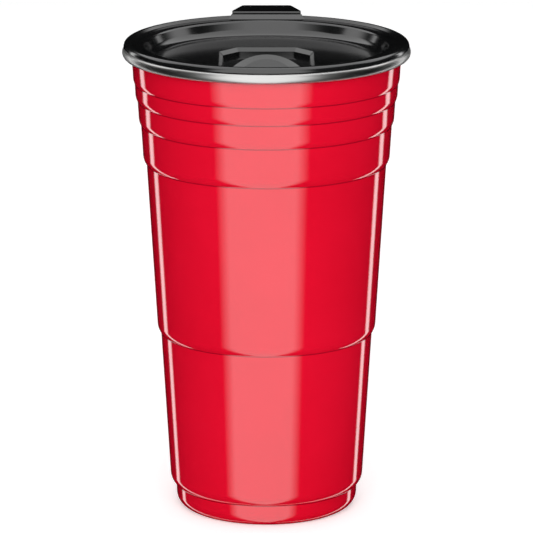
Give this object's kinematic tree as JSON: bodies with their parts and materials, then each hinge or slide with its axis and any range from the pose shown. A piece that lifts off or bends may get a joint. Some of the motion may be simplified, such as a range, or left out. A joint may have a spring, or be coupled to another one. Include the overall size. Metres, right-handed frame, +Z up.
{
  "type": "insulated cup",
  "caption": "Tall stepped vacuum-insulated steel cup with a rolled rim, a press-in lid with a thumb tab and a sliding drinking closure.",
  "frame": {"origin": "centre of the ring that the cup stands on", "axes": "+Z up along the cup's axis, the drinking side towards -Y and the lid's thumb tab towards +Y"},
  "size_m": [0.1038, 0.1138, 0.1744],
  "materials": {
    "red_lacquer": "high gloss red lacquer on steel",
    "bare_steel": "bright satin stainless steel, fine turned lines",
    "getter_metal": "dull sintered metal",
    "sealing_resin": "dull grey sealing resin",
    "smoke_plastic": "moulded gloss smoke-black plastic",
    "grey_silicone": "soft matt grey silicone",
    "slider_plastic": "moulded satin smoke-black plastic"
  },
  "bodies": {
    "cup": {"outer_shell": "red_lacquer", "inner_liner": "bare_steel", "base_cap": "bare_steel", "getter": "getter_metal", "seal_bead": "sealing_resin"},
    "lid": {"lid_body": "smoke_plastic", "lid_gasket": "grey_silicone"},
    "slider": {"slider": "slider_plastic", "slider_clip": "slider_plastic"}
  },
  "joints": [
    {"name": "lid_lift", "type": "slide", "parent": "cup", "child": "lid", "axis": [0, 0, 1], "range_m": [0, 0.03]},
    {"name": "slider_slide", "type": "slide", "parent": "lid", "child": "slider", "axis": [0, 1, 0], "range_m": [0, 0.0155]}
  ]
}
